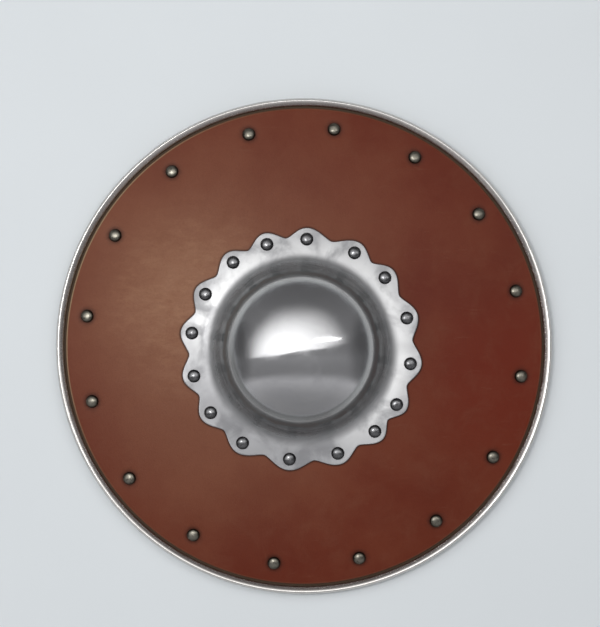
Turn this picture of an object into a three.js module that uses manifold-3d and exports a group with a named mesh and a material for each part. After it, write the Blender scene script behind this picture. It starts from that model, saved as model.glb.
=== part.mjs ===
// A leather-faced buckler: a small round shield held by a grip behind its centre.
// It lies on its back with its face up. Millimetres, +Z out of the face, +Y up the face as it is
// carried, origin on the ground under the middle of the rim.
import * as THREE from "three";
import { mergeVertices } from "three/addons/utils/BufferGeometryUtils.js";
import Module from "manifold-3d";

const wasm = await Module();
wasm.setup();

// The whole shield
const shieldRadius = 200;
const dishRadius = 912; // of the shallow bowl that every layer follows
const fitGap = 0.3; // between pieces that touch
const roundSides = 40; // facets round the board, the leather and the rim
const dishBands = 3; // rings of facets from the hand hole to the board's edge

// Board and leather
const boardThickness = 6;
const leatherThickness = 2.2;
const leatherBevel = 0.9; // taken off the leather's outer edge
const leatherToRim = 2; // bare board between the leather and the rim's lip

// Rim, a sheet rolled over the board's edge
const rimSheet = 1.3;
const rimWidth = 6.7; // seen from the front, from the lip's edge to the outside
const rimNose = 2.5; // from the crest of the roll to the outside
const rimCrestRise = 2.4; // of the crest above the lip's edge
const rimShoulderRun = 2.6; // from the lip's edge to where the roll's inner slope bends
const rimShoulderDrop = 0.3; // of that bend below the crest
const rimFootRound = 2.4; // from the flat back to the outside
const rimSteps = 2; // facets to each curve of its section

// Boss, raised from one sheet
const bossSheet = 1.6;
const bossLeft = 2.4; // of the shield's middle, because it is fitted by hand
const bossDown = 2.5;
const bossSides = 32;
const domeHalfWidth = 67; // of the ellipse that the dome follows
const domeHeight = 49;
const domeSteps = 6;
const wallTopSlope = 63.5; // degrees, where the dome passes into the flared wall
const wallFootSlope = 50; // degrees, where the wall meets the fillet
const wallRun = 6.6; // across the wall, seen from the front
const wallSteps = 1;
const footFillet = 12.4;
const filletSteps = 3;
const footToRivets = 8.8; // from the fillet's end to the ring of rivets
const lobeReach = 9; // of a scallop's tip beyond the ring of rivets
const notchReach = 1.2; // of the notch between two scallops beyond that ring
const lobeRoundness = 1.5; // higher is more pointed
const lobeSteps = 6; // points to a scallop
const handHoleLedge = 11.6; // board that shows inside the boss's foot

// Rivets
const shankRadius = 2.3;
const headRadius = 5.2;
const headHeight = 3.1;
const headSteps = 2; // facets up the dome of a head
const tailRadius = 3.9;
const tailHeight = 1.5;
const rivetSides = 6;
const holeSides = 4; // punched square
const faceRivets = 16;
const faceRivetTurn = 14.6; // degrees, of the first one from +X
const faceRivetInset = 15.6; // from the leather's edge
const bossRivetTurn = 16;
const bossRivetWander = [0.5, 2, 0, 3.5, 2, -0.5, -1, -2, -2, -3.5, -3, 0.5, 3.5, 3.5, -1, -1];
const gripRivet = 7; // of the boss rivets, the one that holds the strap's left end

// Grip
const strapWidth = 20;
const strapThickness = 3;
const strapTab = 11; // beyond each rivet
const strapSeat = 3; // from the hand hole's edge to where the strap bends onto the board
const handleDepth = 25; // front to back
const handleBreadth = 31;
const handleTaper = 0.86; // of the ends against the middle
const handleEndRound = 3;
const handleSwell = 15; // from the middle to where the taper starts
const handleEndRoom = 16; // between the handle's end and the hand hole's edge
const handleSides = 12;

// Sizes that follow from those above
const bossRivets = bossRivetWander.length;
const bossOffset = new THREE.Vector2(-bossLeft, -bossDown);
const lipRadius = shieldRadius - rimWidth;
const leatherRadius = lipRadius - leatherToRim;
const boardRadius = shieldRadius - rimSheet - fitGap;
const topSlope = THREE.MathUtils.degToRad(wallTopSlope);
const footSlope = THREE.MathUtils.degToRad(wallFootSlope);
const domeSweep = Math.atan((Math.tan(topSlope) * domeHalfWidth) / domeHeight);
const wallTopRadius = domeHalfWidth * Math.sin(domeSweep);
const filletRun = footFillet * Math.sin(footSlope);
const footRadius = wallTopRadius + wallRun + filletRun;
const bossRivetRadius = footRadius + footToRivets;
const faceRivetRadius = leatherRadius - faceRivetInset;
const handHoleRadius = footRadius - handHoleLedge;
const bandWidth = (boardRadius - handHoleRadius) / dishBands;
const facetSag = bandWidth ** 2 / (8 * dishRadius); // of a flat facet under the true bowl
const leatherHeight = boardThickness + fitGap; // above the board's back
const flangeHeight = leatherHeight + leatherThickness + fitGap;

// How far the bowl has fallen at a place on it, counted from its middle
const dishDrop = (x, y) => dishRadius - Math.sqrt(dishRadius ** 2 - x * x - y * y);
// The height of the board's back above the ground at a place on the bowl
const backEdgeHeight = rimSheet + fitGap;
const backHeight = (x, y) => backEdgeHeight + dishDrop(boardRadius, 0) - dishDrop(x, y);

const steel = new THREE.MeshStandardMaterial({ color: 0xb9bcc0, metalness: 1, roughness: 0.24 });
const rimSteel = new THREE.MeshStandardMaterial({ color: 0xc4c6c8, metalness: 1, roughness: 0.28 });
const darkSteel = new THREE.MeshStandardMaterial({ color: 0x5d5950, metalness: 1, roughness: 0.38 });
const strapSteel = new THREE.MeshStandardMaterial({ color: 0x6b6a68, metalness: 1, roughness: 0.5 });
const brownLeather = new THREE.MeshStandardMaterial({ color: 0x69402f, roughness: 0.62 });
const darkLeather = new THREE.MeshStandardMaterial({ color: 0x3c2619, roughness: 0.7 });
const stainedWood = new THREE.MeshStandardMaterial({ color: 0x7a5a3c, roughness: 0.75 });

// A geometry as a solid that can be cut or joined, and back
function toSolid(geometry) {
  const bare = geometry.clone();
  bare.deleteAttribute("normal");
  bare.deleteAttribute("uv");
  const merged = mergeVertices(bare, 1e-4);
  return new wasm.Manifold(
    new wasm.Mesh({
      numProp: 3,
      vertProperties: merged.attributes.position.array,
      triVerts: new Uint32Array(merged.index.array),
    }),
  );
}

function toGeometry(solid) {
  const mesh = solid.getMesh();
  const geometry = new THREE.BufferGeometry();
  geometry.setAttribute("position", new THREE.BufferAttribute(mesh.vertProperties, 3));
  geometry.setIndex(new THREE.BufferAttribute(mesh.triVerts, 1));
  const faceted = geometry.toNonIndexed();
  faceted.computeVertexNormals();
  return faceted;
}

// A profile of [radius, height] points, going round anticlockwise as seen with the axis on the
// left, turned about +Z
function turned(profile, sides) {
  const points = profile.map(([radius, height]) => new THREE.Vector2(radius, height));
  return new THREE.LatheGeometry(points, sides).rotateX(Math.PI / 2);
}

// Sets a flat-based shape down on the bowl: heights above the board's back become true heights
function onTheDish(geometry) {
  const place = geometry.attributes.position;
  for (let i = 0; i < place.count; i++) {
    place.setZ(i, place.getZ(i) + backHeight(place.getX(i), place.getY(i)));
  }
  return geometry;
}

// A point of the bowl, and the turn that stands a piece up square to it
function standing(x, y, height) {
  const outward = new THREE.Vector3(x, y, dishRadius - dishDrop(x, y)).normalize();
  const turn = new THREE.Quaternion().setFromUnitVectors(new THREE.Vector3(0, 0, 1), outward);
  const place = new THREE.Vector3(x, y, backHeight(x, y) + height);
  return new THREE.Matrix4().compose(place, turn, new THREE.Vector3(1, 1, 1));
}

// Ring radii for a layer, shared by all layers so that their facets nest
function bands(outerRadius) {
  const radii = [];
  for (let i = 0; i < dishBands; i++) {
    const radius = handHoleRadius + i * bandWidth;
    if (radius < outerRadius - bandWidth / 8) radii.push(radius);
  }
  return [...radii, outerRadius];
}

// A dished ring between two heights above the board's back, with its outer top edge bevelled
function layer(outerRadius, low, high, bevel) {
  const under = bands(outerRadius).map((radius) => [radius, low]);
  const over = bands(outerRadius - bevel).map((radius) => [radius, high]);
  const edge = bevel > 0 ? [[outerRadius, high - bevel]] : [];
  return onTheDish(turned([...under, ...edge, ...over.reverse(), under[0]], roundSides));
}

// Where the rivets' heads sit, in the face and round the boss: x, y and height above the board's back
const faceSeat = leatherHeight + leatherThickness + fitGap;
const bossSeat = flangeHeight + bossSheet + fitGap;
const faceRivetSeats = [];
for (let i = 0; i < faceRivets; i++) {
  const angle = THREE.MathUtils.degToRad(faceRivetTurn + (360 / faceRivets) * i);
  const x = faceRivetRadius * Math.cos(angle);
  const y = faceRivetRadius * Math.sin(angle);
  faceRivetSeats.push([x, y, faceSeat]);
}
const bossRivetAngle = (i) => {
  const turns = Math.floor(i / bossRivets);
  const wander = bossRivetWander[i - turns * bossRivets];
  return THREE.MathUtils.degToRad(bossRivetTurn + (360 / bossRivets) * i + wander);
};
const bossRivetSeats = [];
for (let i = 0; i < bossRivets; i++) {
  const x = bossOffset.x + bossRivetRadius * Math.cos(bossRivetAngle(i));
  const y = bossOffset.y + bossRivetRadius * Math.sin(bossRivetAngle(i));
  bossRivetSeats.push([x, y, bossSeat]);
}

// Bores a rivet hole square to the bowl under each seat
function drilled(solid, seats) {
  const holeRadius = (shankRadius + fitGap) / Math.cos(Math.PI / holeSides);
  const depth = 4 * bossSeat;
  for (const [x, y, height] of seats) {
    const drill = new THREE.CylinderGeometry(holeRadius, holeRadius, depth, holeSides);
    drill.rotateX(Math.PI / 2).applyMatrix4(standing(x, y, height));
    solid = solid.subtract(toSolid(drill));
  }
  return solid;
}

function makeBoard() {
  const disc = toSolid(layer(boardRadius, 0, boardThickness, 0));
  return toGeometry(drilled(disc, [...faceRivetSeats, ...bossRivetSeats]));
}

function makeLeather() {
  const top = leatherHeight + leatherThickness;
  const disc = toSolid(layer(leatherRadius, leatherHeight, top, leatherBevel));
  return toGeometry(drilled(disc, [...faceRivetSeats, ...bossRivetSeats]));
}

// The rolled rim: round outside, flat behind, open inwards where it grips the board
function makeRim() {
  const frontOf = (radius) => backHeight(radius, 0) + boardThickness + fitGap;
  const backOf = (radius) => backHeight(radius, 0) - fitGap - facetSag;
  const lipTop = frontOf(lipRadius) + rimSheet;
  const crest = lipTop + rimCrestRise;
  const crestRadius = shieldRadius - rimNose;
  const flatRadius = shieldRadius - rimFootRound;
  const middle = backEdgeHeight + boardThickness / 2;
  const seatRadius = boardRadius + fitGap;
  const section = new THREE.Shape();
  section.moveTo(lipRadius, 0);
  section.lineTo(flatRadius, 0);
  section.absellipse(flatRadius, middle, rimFootRound, middle, -Math.PI / 2, 0);
  section.absellipse(crestRadius, middle, rimNose, crest - middle, 0, Math.PI / 2);
  section.quadraticCurveTo(lipRadius + rimShoulderRun, crest - rimShoulderDrop, lipRadius, lipTop);
  section.lineTo(lipRadius, frontOf(lipRadius));
  section.lineTo(seatRadius, frontOf(seatRadius));
  section.lineTo(seatRadius, backOf(seatRadius));
  section.lineTo(lipRadius, backOf(lipRadius));
  section.closePath();
  const points = section.getPoints(rimSteps).map((point) => [point.x, point.y]);
  return turned(points, roundSides);
}

// The outside of the boss from its top to its flange, as [radius, height above the flange's top]
function bossOutside() {
  const points = [];
  for (let i = 0; i <= domeSteps; i++) {
    const angle = (domeSweep * i) / domeSteps;
    points.push([domeHalfWidth * Math.sin(angle), domeHeight * Math.cos(angle)]);
  }
  const stepDown = (run, slope) => {
    const [radius, height] = points[points.length - 1];
    points.push([radius + run, height - run * Math.tan(slope)]);
  };
  for (let i = 0; i < wallSteps; i++) {
    const share = (i + 0.5) / wallSteps;
    stepDown(wallRun / wallSteps, topSlope + (footSlope - topSlope) * share);
  }
  for (let i = 0; i < filletSteps; i++) {
    const from = footSlope * (1 - i / filletSteps);
    const to = footSlope * (1 - (i + 1) / filletSteps);
    stepDown(footFillet * (Math.sin(from) - Math.sin(to)), (from + to) / 2);
  }
  const floor = points[points.length - 1][1];
  return points.map(([radius, height]) => [radius, height - floor]);
}

// The same line moved inwards by the sheet's thickness, with every second point of the dome
function insideOf(outside) {
  const inside = outside.map(([radius, height], i) => {
    const before = outside[Math.max(i - 1, 0)];
    const after = outside[Math.min(i + 1, outside.length - 1)];
    const slope = Math.atan2(before[1] - after[1], after[0] - before[0]);
    if (i === 0) return [0, height - bossSheet];
    if (i === outside.length - 1) return [radius, height - bossSheet];
    return [radius - bossSheet * Math.sin(slope), height - bossSheet * Math.cos(slope)];
  });
  return inside.filter((point, i) => i >= domeSteps || i % 2 === 0);
}

// The scalloped outline of the flange: a rounded lobe for each rivet
function scallops() {
  const outline = new THREE.Shape();
  for (let i = 0; i < bossRivets; i++) {
    const start = (bossRivetAngle(i - 1) + bossRivetAngle(i)) / 2;
    const tip = bossRivetAngle(i);
    const end = (bossRivetAngle(i) + bossRivetAngle(i + 1)) / 2;
    for (let step = 0; step < lobeSteps; step++) {
      const side = (2 * step) / lobeSteps - 1; // -1 at a notch, 0 at the tip
      const angle = side < 0 ? tip + (tip - start) * side : tip + (end - tip) * side;
      const swell = Math.max(Math.cos((Math.PI / 2) * side), 0) ** lobeRoundness;
      const reach = notchReach + (lobeReach - notchReach) * swell;
      const radius = bossRivetRadius + reach;
      const point = new THREE.Vector2(radius * Math.cos(angle), radius * Math.sin(angle));
      if (i === 0 && step === 0) outline.moveTo(point.x, point.y);
      else outline.lineTo(point.x, point.y);
    }
  }
  outline.closePath();
  return outline;
}

function makeBoss() {
  const blankRadius = bossRivetRadius + lobeReach + headRadius / 2;
  const outside = bossOutside();
  const top = [...outside, [blankRadius, 0]];
  const under = [...insideOf(outside), [blankRadius, -bossSheet]];
  const lift = flangeHeight + bossSheet;
  const sheet = [...under, ...top.reverse()];
  const profile = sheet.map(([radius, height]) => [radius, height + lift]);
  const blank = turned(profile, bossSides).translate(bossOffset.x, bossOffset.y, 0);
  const tall = 2 * (domeHeight + domeHalfWidth);
  const cutter = new THREE.ExtrudeGeometry(scallops(), { depth: tall, bevelEnabled: false });
  cutter.translate(bossOffset.x, bossOffset.y, 0);
  const trimmed = toSolid(onTheDish(blank)).intersect(toSolid(cutter));
  return toGeometry(drilled(trimmed, bossRivetSeats));
}

// A rivet that clamps a stack of some thickness, with its origin under its head
function makeRivet(stack) {
  const shank = stack + fitGap;
  const profile = [
    [0, -shank - tailHeight],
    [tailRadius, -shank],
    [shankRadius, -shank],
    [shankRadius, 0],
  ];
  for (let i = 0; i < headSteps; i++) {
    const angle = (Math.PI / 2) * (i / headSteps);
    profile.push([headRadius * Math.cos(angle), headHeight * Math.sin(angle)]);
  }
  return turned([...profile, [0, headHeight]], rivetSides);
}

// The strap lies along the line between the two opposite boss rivets that hold it
const strapRivets = [gripRivet, gripRivet + bossRivets / 2].map((i) => Math.floor(i) % bossRivets);
const [strapLeft, strapRight] = strapRivets.map((i) => {
  const stand = standing(...bossRivetSeats[i]);
  const foot = new THREE.Vector3(0, 0, -bossSeat).applyMatrix4(stand);
  return new THREE.Vector2(foot.x, foot.y);
});
const strapLine = strapRight.clone().sub(strapLeft);
const strapMiddle = strapLeft.clone().add(strapRight).divideScalar(2);
const strapAngle = strapLine.angle();
const underBoard = fitGap + facetSag; // clearance below the board's back
const strapTop = (along) => {
  const place = strapLine.clone().setLength(along).add(strapMiddle);
  return backHeight(place.x, place.y) - underBoard;
};
const bendPlace = handHoleRadius + strapSeat;
const strapHeight = Math.min(strapTop(bendPlace), strapTop(-bendPlace));

function makeStrap() {
  const end = strapLine.length() / 2 + strapTab;
  const line = [
    [-end, strapTop(-end)],
    [-bendPlace, strapHeight],
    [bendPlace, strapHeight],
    [end, strapTop(end)],
  ];
  const side = new THREE.Shape();
  line.forEach(([along, top], i) => (i ? side.lineTo(along, top) : side.moveTo(along, top)));
  line.reverse().forEach(([along, top]) => side.lineTo(along, top - strapThickness));
  side.closePath();
  const bar = new THREE.ExtrudeGeometry(side, { depth: strapWidth, bevelEnabled: false });
  bar.translate(0, 0, -strapWidth / 2).rotateX(Math.PI / 2).rotateZ(strapAngle);
  bar.translate(strapMiddle.x, strapMiddle.y, 0);
  return toGeometry(drilled(toSolid(bar), strapRivets.map((i) => bossRivetSeats[i])));
}

// The handle swells in the middle and has a slot for the strap right through it
function makeHandle() {
  const half = handHoleRadius - handleEndRoom;
  const middleRadius = handleDepth / 2;
  const endRadius = middleRadius * handleTaper;
  const upperHalf = [
    [middleRadius, handleSwell],
    [endRadius, half - handleEndRound],
    [endRadius - handleEndRound, half],
    [0, half],
  ];
  const lowerHalf = upperHalf.map(([radius, along]) => [radius, -along]).reverse();
  const barrel = turned([...lowerHalf, ...upperHalf], handleSides);
  barrel.scale(1, handleBreadth / handleDepth, 1).rotateY(Math.PI / 2);
  const room = 2 * fitGap;
  const slot = new THREE.BoxGeometry(3 * half, strapWidth + room, strapThickness + room);
  const grip = toGeometry(toSolid(barrel).subtract(toSolid(slot)));
  grip.rotateZ(strapAngle);
  return grip.translate(strapMiddle.x, strapMiddle.y, strapHeight - strapThickness / 2);
}

const buckler = new THREE.Group();

function add(name, geometry, material) {
  const mesh = new THREE.Mesh(geometry, material);
  mesh.name = name;
  buckler.add(mesh);
  return mesh;
}

add("board", makeBoard(), stainedWood);
add("leather_face", makeLeather(), brownLeather);
add("rim", makeRim(), rimSteel);
add("boss", makeBoss(), steel);
add("grip_strap", makeStrap(), strapSteel);
add("grip_handle", makeHandle(), darkLeather);

// Adds one rivet, whose tail is peened under the board or under what lies below it there
function addRivet(name, seat, below) {
  const outward = standing(...seat);
  const stack = seat[2] + below;
  add(name, makeRivet(stack), darkSteel).applyMatrix4(outward);
}

const numbered = (name, i) => name + "_" + String(i + 1).padStart(2, "0");
faceRivetSeats.forEach((seat, i) => {
  addRivet(numbered("face_rivet", i), seat, facetSag);
});
bossRivetSeats.forEach((seat, i) => {
  const below = strapRivets.includes(i) ? underBoard + strapThickness : facetSag;
  addRivet(numbered("boss_rivet", i), seat, below);
});

export default buckler;
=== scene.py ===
import math

import bpy
from mathutils import Matrix, Vector, noise


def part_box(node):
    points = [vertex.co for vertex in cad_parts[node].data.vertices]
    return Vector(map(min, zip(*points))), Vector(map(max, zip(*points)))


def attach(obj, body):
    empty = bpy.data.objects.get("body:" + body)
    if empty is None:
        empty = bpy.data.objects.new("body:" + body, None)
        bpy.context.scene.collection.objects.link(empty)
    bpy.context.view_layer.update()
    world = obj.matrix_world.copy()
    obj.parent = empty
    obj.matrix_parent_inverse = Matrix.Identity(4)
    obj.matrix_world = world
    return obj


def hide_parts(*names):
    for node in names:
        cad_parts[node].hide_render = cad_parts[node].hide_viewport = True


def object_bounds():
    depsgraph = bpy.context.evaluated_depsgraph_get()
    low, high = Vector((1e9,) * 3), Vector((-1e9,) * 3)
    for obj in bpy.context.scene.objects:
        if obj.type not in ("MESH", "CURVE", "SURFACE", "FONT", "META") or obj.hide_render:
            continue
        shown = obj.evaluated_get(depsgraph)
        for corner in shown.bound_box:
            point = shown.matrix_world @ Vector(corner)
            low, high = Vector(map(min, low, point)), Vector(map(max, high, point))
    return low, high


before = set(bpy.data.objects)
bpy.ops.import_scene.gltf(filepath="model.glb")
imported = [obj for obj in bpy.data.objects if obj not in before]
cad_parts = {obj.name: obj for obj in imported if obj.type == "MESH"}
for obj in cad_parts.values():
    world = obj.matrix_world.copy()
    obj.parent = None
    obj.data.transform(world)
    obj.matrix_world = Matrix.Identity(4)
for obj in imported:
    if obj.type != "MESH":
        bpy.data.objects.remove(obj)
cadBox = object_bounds()
print("frame loaded")

shield = {
    "dishRadius": 0.912,     # of the shallow bowl that every layer follows
    "turns": 384,            # steps round the board, the leather and the rim
    "boardThickness": 0.006,
    "gap": 0.0003,           # between layers
    "leatherThickness": 0.0022,
    "bossSheet": 0.0016,
    "handHole": 0.06744,     # its radius
}
boardLow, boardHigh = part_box("board")
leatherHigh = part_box("leather_face")[1]
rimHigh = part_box("rim")[1]
leatherBase = shield["boardThickness"] + shield["gap"]
leatherTop = leatherBase + shield["leatherThickness"]
flangeBase = leatherTop + shield["gap"]
flangeTop = flangeBase + shield["bossSheet"]
handHole = shield["handHole"]

bossRing = {
    "centre": Vector((-0.0024, -0.0025, 0)),
    "radius": 0.08784,
    "firstTurn": 16,         # degrees from +X
    "wander": [0.5, 2, 0, 3.5, 2, -0.5, -1, -2, -2, -3.5, -3, 0.5, 3.5, 3.5, -1, -1],
    "lobeReach": 0.009,      # of a scallop's tip beyond the ring of rivets
    "notchReach": 0.0012,    # of the notch between two scallops beyond it
    "lobeRoundness": 1.5,
}
faceRing = {"count": 16, "radius": 0.1757, "firstTurn": 14.6}


def dishDrop(x, y):
    return shield["dishRadius"] - math.sqrt(shield["dishRadius"] ** 2 - x * x - y * y)


def backHeight(x, y):
    # of the board's back above the ground
    return boardLow.z + dishDrop(boardHigh.x, 0) - dishDrop(x, y)


def leanAt(place):
    # the direction that stands square to the bowl
    return Vector((place.x, place.y, shield["dishRadius"] - dishDrop(place.x, place.y))).normalized()


def bossRivetTurn(i):
    # counted on past the last rivet for another lap
    count = len(bossRing["wander"])
    return math.radians(bossRing["firstTurn"] + 360 / count * i + bossRing["wander"][i % count])


def faceRivetTurn(i):
    return math.radians(faceRing["firstTurn"] + 360 / faceRing["count"] * i)


def onRing(centre, radius, turn):
    return centre + Vector((radius * math.cos(turn), radius * math.sin(turn), 0))


facePlaces = [onRing(Vector(), faceRing["radius"], faceRivetTurn(i)) for i in range(faceRing["count"])]
bossPlaces = [
    onRing(bossRing["centre"], bossRing["radius"], bossRivetTurn(i)) for i in range(len(bossRing["wander"]))
]


def lobeRadius(turn):
    # the flange's scalloped outline
    turn = turn % math.tau
    i = -1
    while turn >= (bossRivetTurn(i) + bossRivetTurn(i + 1)) / 2:
        i += 1
    tip = bossRivetTurn(i)
    start, end = (bossRivetTurn(i - 1) + tip) / 2, (tip + bossRivetTurn(i + 1)) / 2
    side = (turn - tip) / (tip - start) if turn < tip else (turn - tip) / (end - tip)
    swell = max(math.cos(math.pi / 2 * side), 0) ** bossRing["lobeRoundness"]
    reach = bossRing["lobeReach"] - bossRing["notchReach"]
    return bossRing["radius"] + bossRing["notchReach"] + reach * swell


# Working with pieces

def deselectAll():
    if bpy.context.mode != "OBJECT":
        bpy.ops.object.mode_set(mode="OBJECT")
    bpy.ops.object.select_all(action="DESELECT")


def makeActive(piece):
    deselectAll()
    piece.select_set(True)
    bpy.context.view_layer.objects.active = piece


def editAll(piece):
    makeActive(piece)
    bpy.ops.object.mode_set(mode="EDIT")
    bpy.ops.mesh.select_all(action="SELECT")


def editOnly(piece, kind, isWanted):
    # edit mode with only the wanted faces or edges selected
    editAll(piece)
    bpy.ops.mesh.select_all(action="DESELECT")
    bpy.ops.mesh.select_mode(type=kind)
    bpy.ops.object.mode_set(mode="OBJECT")
    for part in piece.data.polygons if kind == "FACE" else piece.data.edges:
        part.select = isWanted(part)
    bpy.ops.object.mode_set(mode="EDIT")


def drawLine(name, points):
    # edges in the XZ plane, extruded from one corner to the next
    deselectAll()
    bpy.ops.mesh.primitive_plane_add(size=0.001, location=(points[0][0], 0, points[0][1]))
    piece = bpy.context.active_object
    piece.name = name
    bpy.ops.object.transform_apply(location=True)
    bpy.ops.object.mode_set(mode="EDIT")
    bpy.ops.mesh.select_mode(type="VERT")
    bpy.ops.mesh.select_all(action="SELECT")
    bpy.ops.mesh.merge(type="CENTER")
    for before, after in zip(points, points[1:]):
        step = (after[0] - before[0], 0, after[1] - before[1])
        bpy.ops.mesh.extrude_region_move(TRANSFORM_OT_translate={"value": step})
    bpy.ops.object.mode_set(mode="OBJECT")
    return piece


def spinLine(name, points, turns, inside=False):
    # a line of [radius, height] points spun about Z
    piece = drawLine(name, points)
    editAll(piece)
    bpy.ops.mesh.spin(steps=turns, angle=math.tau, center=(0, 0, 0), axis=(0, 0, 1))
    bpy.ops.mesh.select_all(action="SELECT")
    bpy.ops.mesh.remove_doubles(threshold=1e-6)
    bpy.ops.mesh.normals_make_consistent(inside=inside)
    bpy.ops.object.mode_set(mode="OBJECT")
    return piece


def finishPiece(piece, material, nodes, angle=35):
    makeActive(piece)
    bpy.ops.object.transform_apply(location=True, rotation=True, scale=True)
    bpy.ops.object.shade_smooth_by_angle(angle=math.radians(angle))
    piece.data.materials.clear()
    piece.data.materials.append(material)
    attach(piece, "root")
    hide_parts(*nodes)


def applyModifier(piece, kind, **settings):
    makeActive(piece)
    modifier = piece.modifiers.new(kind.title(), kind)
    for key, value in settings.items():
        setattr(modifier, key, value)
    bpy.ops.object.modifier_apply(modifier=modifier.name)


def between(low, high, count):
    return [low + (high - low) * i / count for i in range(count + 1)]


def smoothStep(low, high, value):
    share = min(max((value - low) / (high - low), 0), 1)
    return share * share * (3 - 2 * share)


def addAttribute(piece, name, valueAt):
    layer = piece.data.attributes.new(name, "FLOAT", "POINT")
    for i, vertex in enumerate(piece.data.vertices):
        layer.data[i].value = valueAt(vertex.co)


# Nodes

def rgb(red, green, blue):
    return (red, green, blue, 1)


class Nodes:
    # a node tree, and the nodes that the finishes and the lights share

    def __init__(self, tree):
        self.tree = tree

    def add(self, kind, **settings):
        node = self.tree.nodes.new(kind)
        for key, value in settings.items():
            setattr(node, key, value)
        return node

    def fill(self, socket, value):
        if isinstance(value, bpy.types.NodeSocket):
            self.tree.links.new(value, socket)
        else:
            socket.default_value = value

    def math(self, operation, *values):
        node = self.add("ShaderNodeMath", operation=operation)
        for socket, value in zip(node.inputs, values):
            self.fill(socket, value)
        return node.outputs[0]

    def plus(self, first, *others):
        for other in others:
            first = self.math("ADD", first, other)
        return first

    def times(self, first, *others):
        for other in others:
            first = self.math("MULTIPLY", first, other)
        return first

    def spread(self, value, low, high, toLow=0.0, toHigh=1.0, curve="SMOOTHSTEP"):
        node = self.add("ShaderNodeMapRange", interpolation_type=curve)
        numbers = {"Value": value, "From Min": low, "From Max": high, "To Min": toLow, "To Max": toHigh}
        for key, number in numbers.items():
            self.fill(node.inputs[key], number)
        return node.outputs["Result"]

    def length(self, vector):
        node = self.add("ShaderNodeVectorMath", operation="LENGTH")
        self.fill(node.inputs[0], vector)
        return node.outputs["Value"]


class Finish(Nodes):
    # a Principled material whose patterns lie on the piece's own coordinates

    def __init__(self, name, **values):
        self.material = bpy.data.materials.new(name)
        self.material.use_nodes = True
        super().__init__(self.material.node_tree)
        self.place = self.add("ShaderNodeTexCoord").outputs["Object"]
        self.use(**values)

    def use(self, **values):
        shader = self.tree.nodes["Principled BSDF"]
        for key, value in values.items():
            self.fill(shader.inputs[key.replace("_", " ")], value)

    def stretch(self, scale, shift=(0, 0, 0), turn=(0, 0, 0)):
        node = self.add("ShaderNodeMapping")
        for key, value in {"Vector": self.place, "Location": shift, "Rotation": turn, "Scale": scale}.items():
            self.fill(node.inputs[key], value)
        return node.outputs["Vector"]

    def clouds(self, scale=1.0, detail=4, roughness=0.55, source=None, warp=0):
        node = self.add("ShaderNodeTexNoise")
        self.fill(node.inputs["Vector"], source or self.place)
        self.fill(node.inputs["Scale"], scale)
        self.fill(node.inputs["Detail"], detail)
        self.fill(node.inputs["Roughness"], roughness)
        self.fill(node.inputs["Distortion"], warp)
        return node.outputs["Fac"]

    def streaks(self, scale, turn=0, **settings):
        # clouds with a scale of their own along each axis
        return self.clouds(source=self.stretch(scale, turn=(0, 0, turn)), **settings)

    def cells(self, scale, feature="DISTANCE_TO_EDGE"):
        node = self.add("ShaderNodeTexVoronoi", feature=feature)
        self.fill(node.inputs["Vector"], self.place)
        self.fill(node.inputs["Scale"], scale)
        return node.outputs["Distance"]

    def blend(self, factor, first, second):
        # a Mix node keeps its colours in sockets 6 and 7, and in 2 of its outputs
        node = self.add("ShaderNodeMix", data_type="RGBA")
        self.fill(node.inputs["Factor"], factor)
        self.fill(node.inputs[6], first)
        self.fill(node.inputs[7], second)
        return node.outputs[2]

    def coat(self, under, pattern, tone, low, high, most=1.0):
        # a tone laid over another where the pattern goes from low to high
        return self.blend(self.spread(pattern, low, high, 0, most), under, tone)

    def flat(self, centre):
        # the place as seen from centre, without its height
        return self.stretch((1, 1, 0), tuple(-c for c in centre))

    def fromAxis(self, centre=(0, 0, 0)):
        # distance from the upright axis through centre
        return self.length(self.flat(centre))

    def near(self, centre, reach, full, most=1.0, least=0.0):
        # most as near the centre as full, least beyond its reach
        return self.spread(self.fromAxis(centre), reach, full, least, most)

    def band(self, radius, start, full, fullEnd, end):
        # grows from start to full and dies away from fullEnd to end
        return self.times(self.spread(radius, start, full), self.spread(radius, end, fullEnd))

    def rings(self, density, centre=(0, 0, 0), change=2.2):
        # marks that run round the axis, as a buffing wheel leaves them, and change as they go round
        node = self.add("ShaderNodeVectorMath", operation="NORMALIZE")
        self.fill(node.inputs[0], self.flat(centre))
        split = self.add("ShaderNodeSeparateXYZ")
        self.fill(split.inputs[0], node.outputs[0])
        joined = self.add("ShaderNodeCombineXYZ")
        self.fill(joined.inputs["X"], self.times(split.outputs["X"], change))
        self.fill(joined.inputs["Y"], self.times(split.outputs["Y"], change))
        self.fill(joined.inputs["Z"], self.times(self.fromAxis(centre), density))
        return self.clouds(detail=5, roughness=0.7, source=joined.outputs[0])

    def attribute(self, name):
        return self.add("ShaderNodeAttribute", attribute_name=name).outputs["Fac"]

    def bump(self, height, strength, distance, normal=None):
        node = self.add("ShaderNodeBump")
        self.fill(node.inputs["Strength"], strength)
        self.fill(node.inputs["Distance"], distance)
        self.fill(node.inputs["Height"], height)
        if normal:
            self.fill(node.inputs["Normal"], normal)
        return node.outputs["Normal"]


# Leather face

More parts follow.
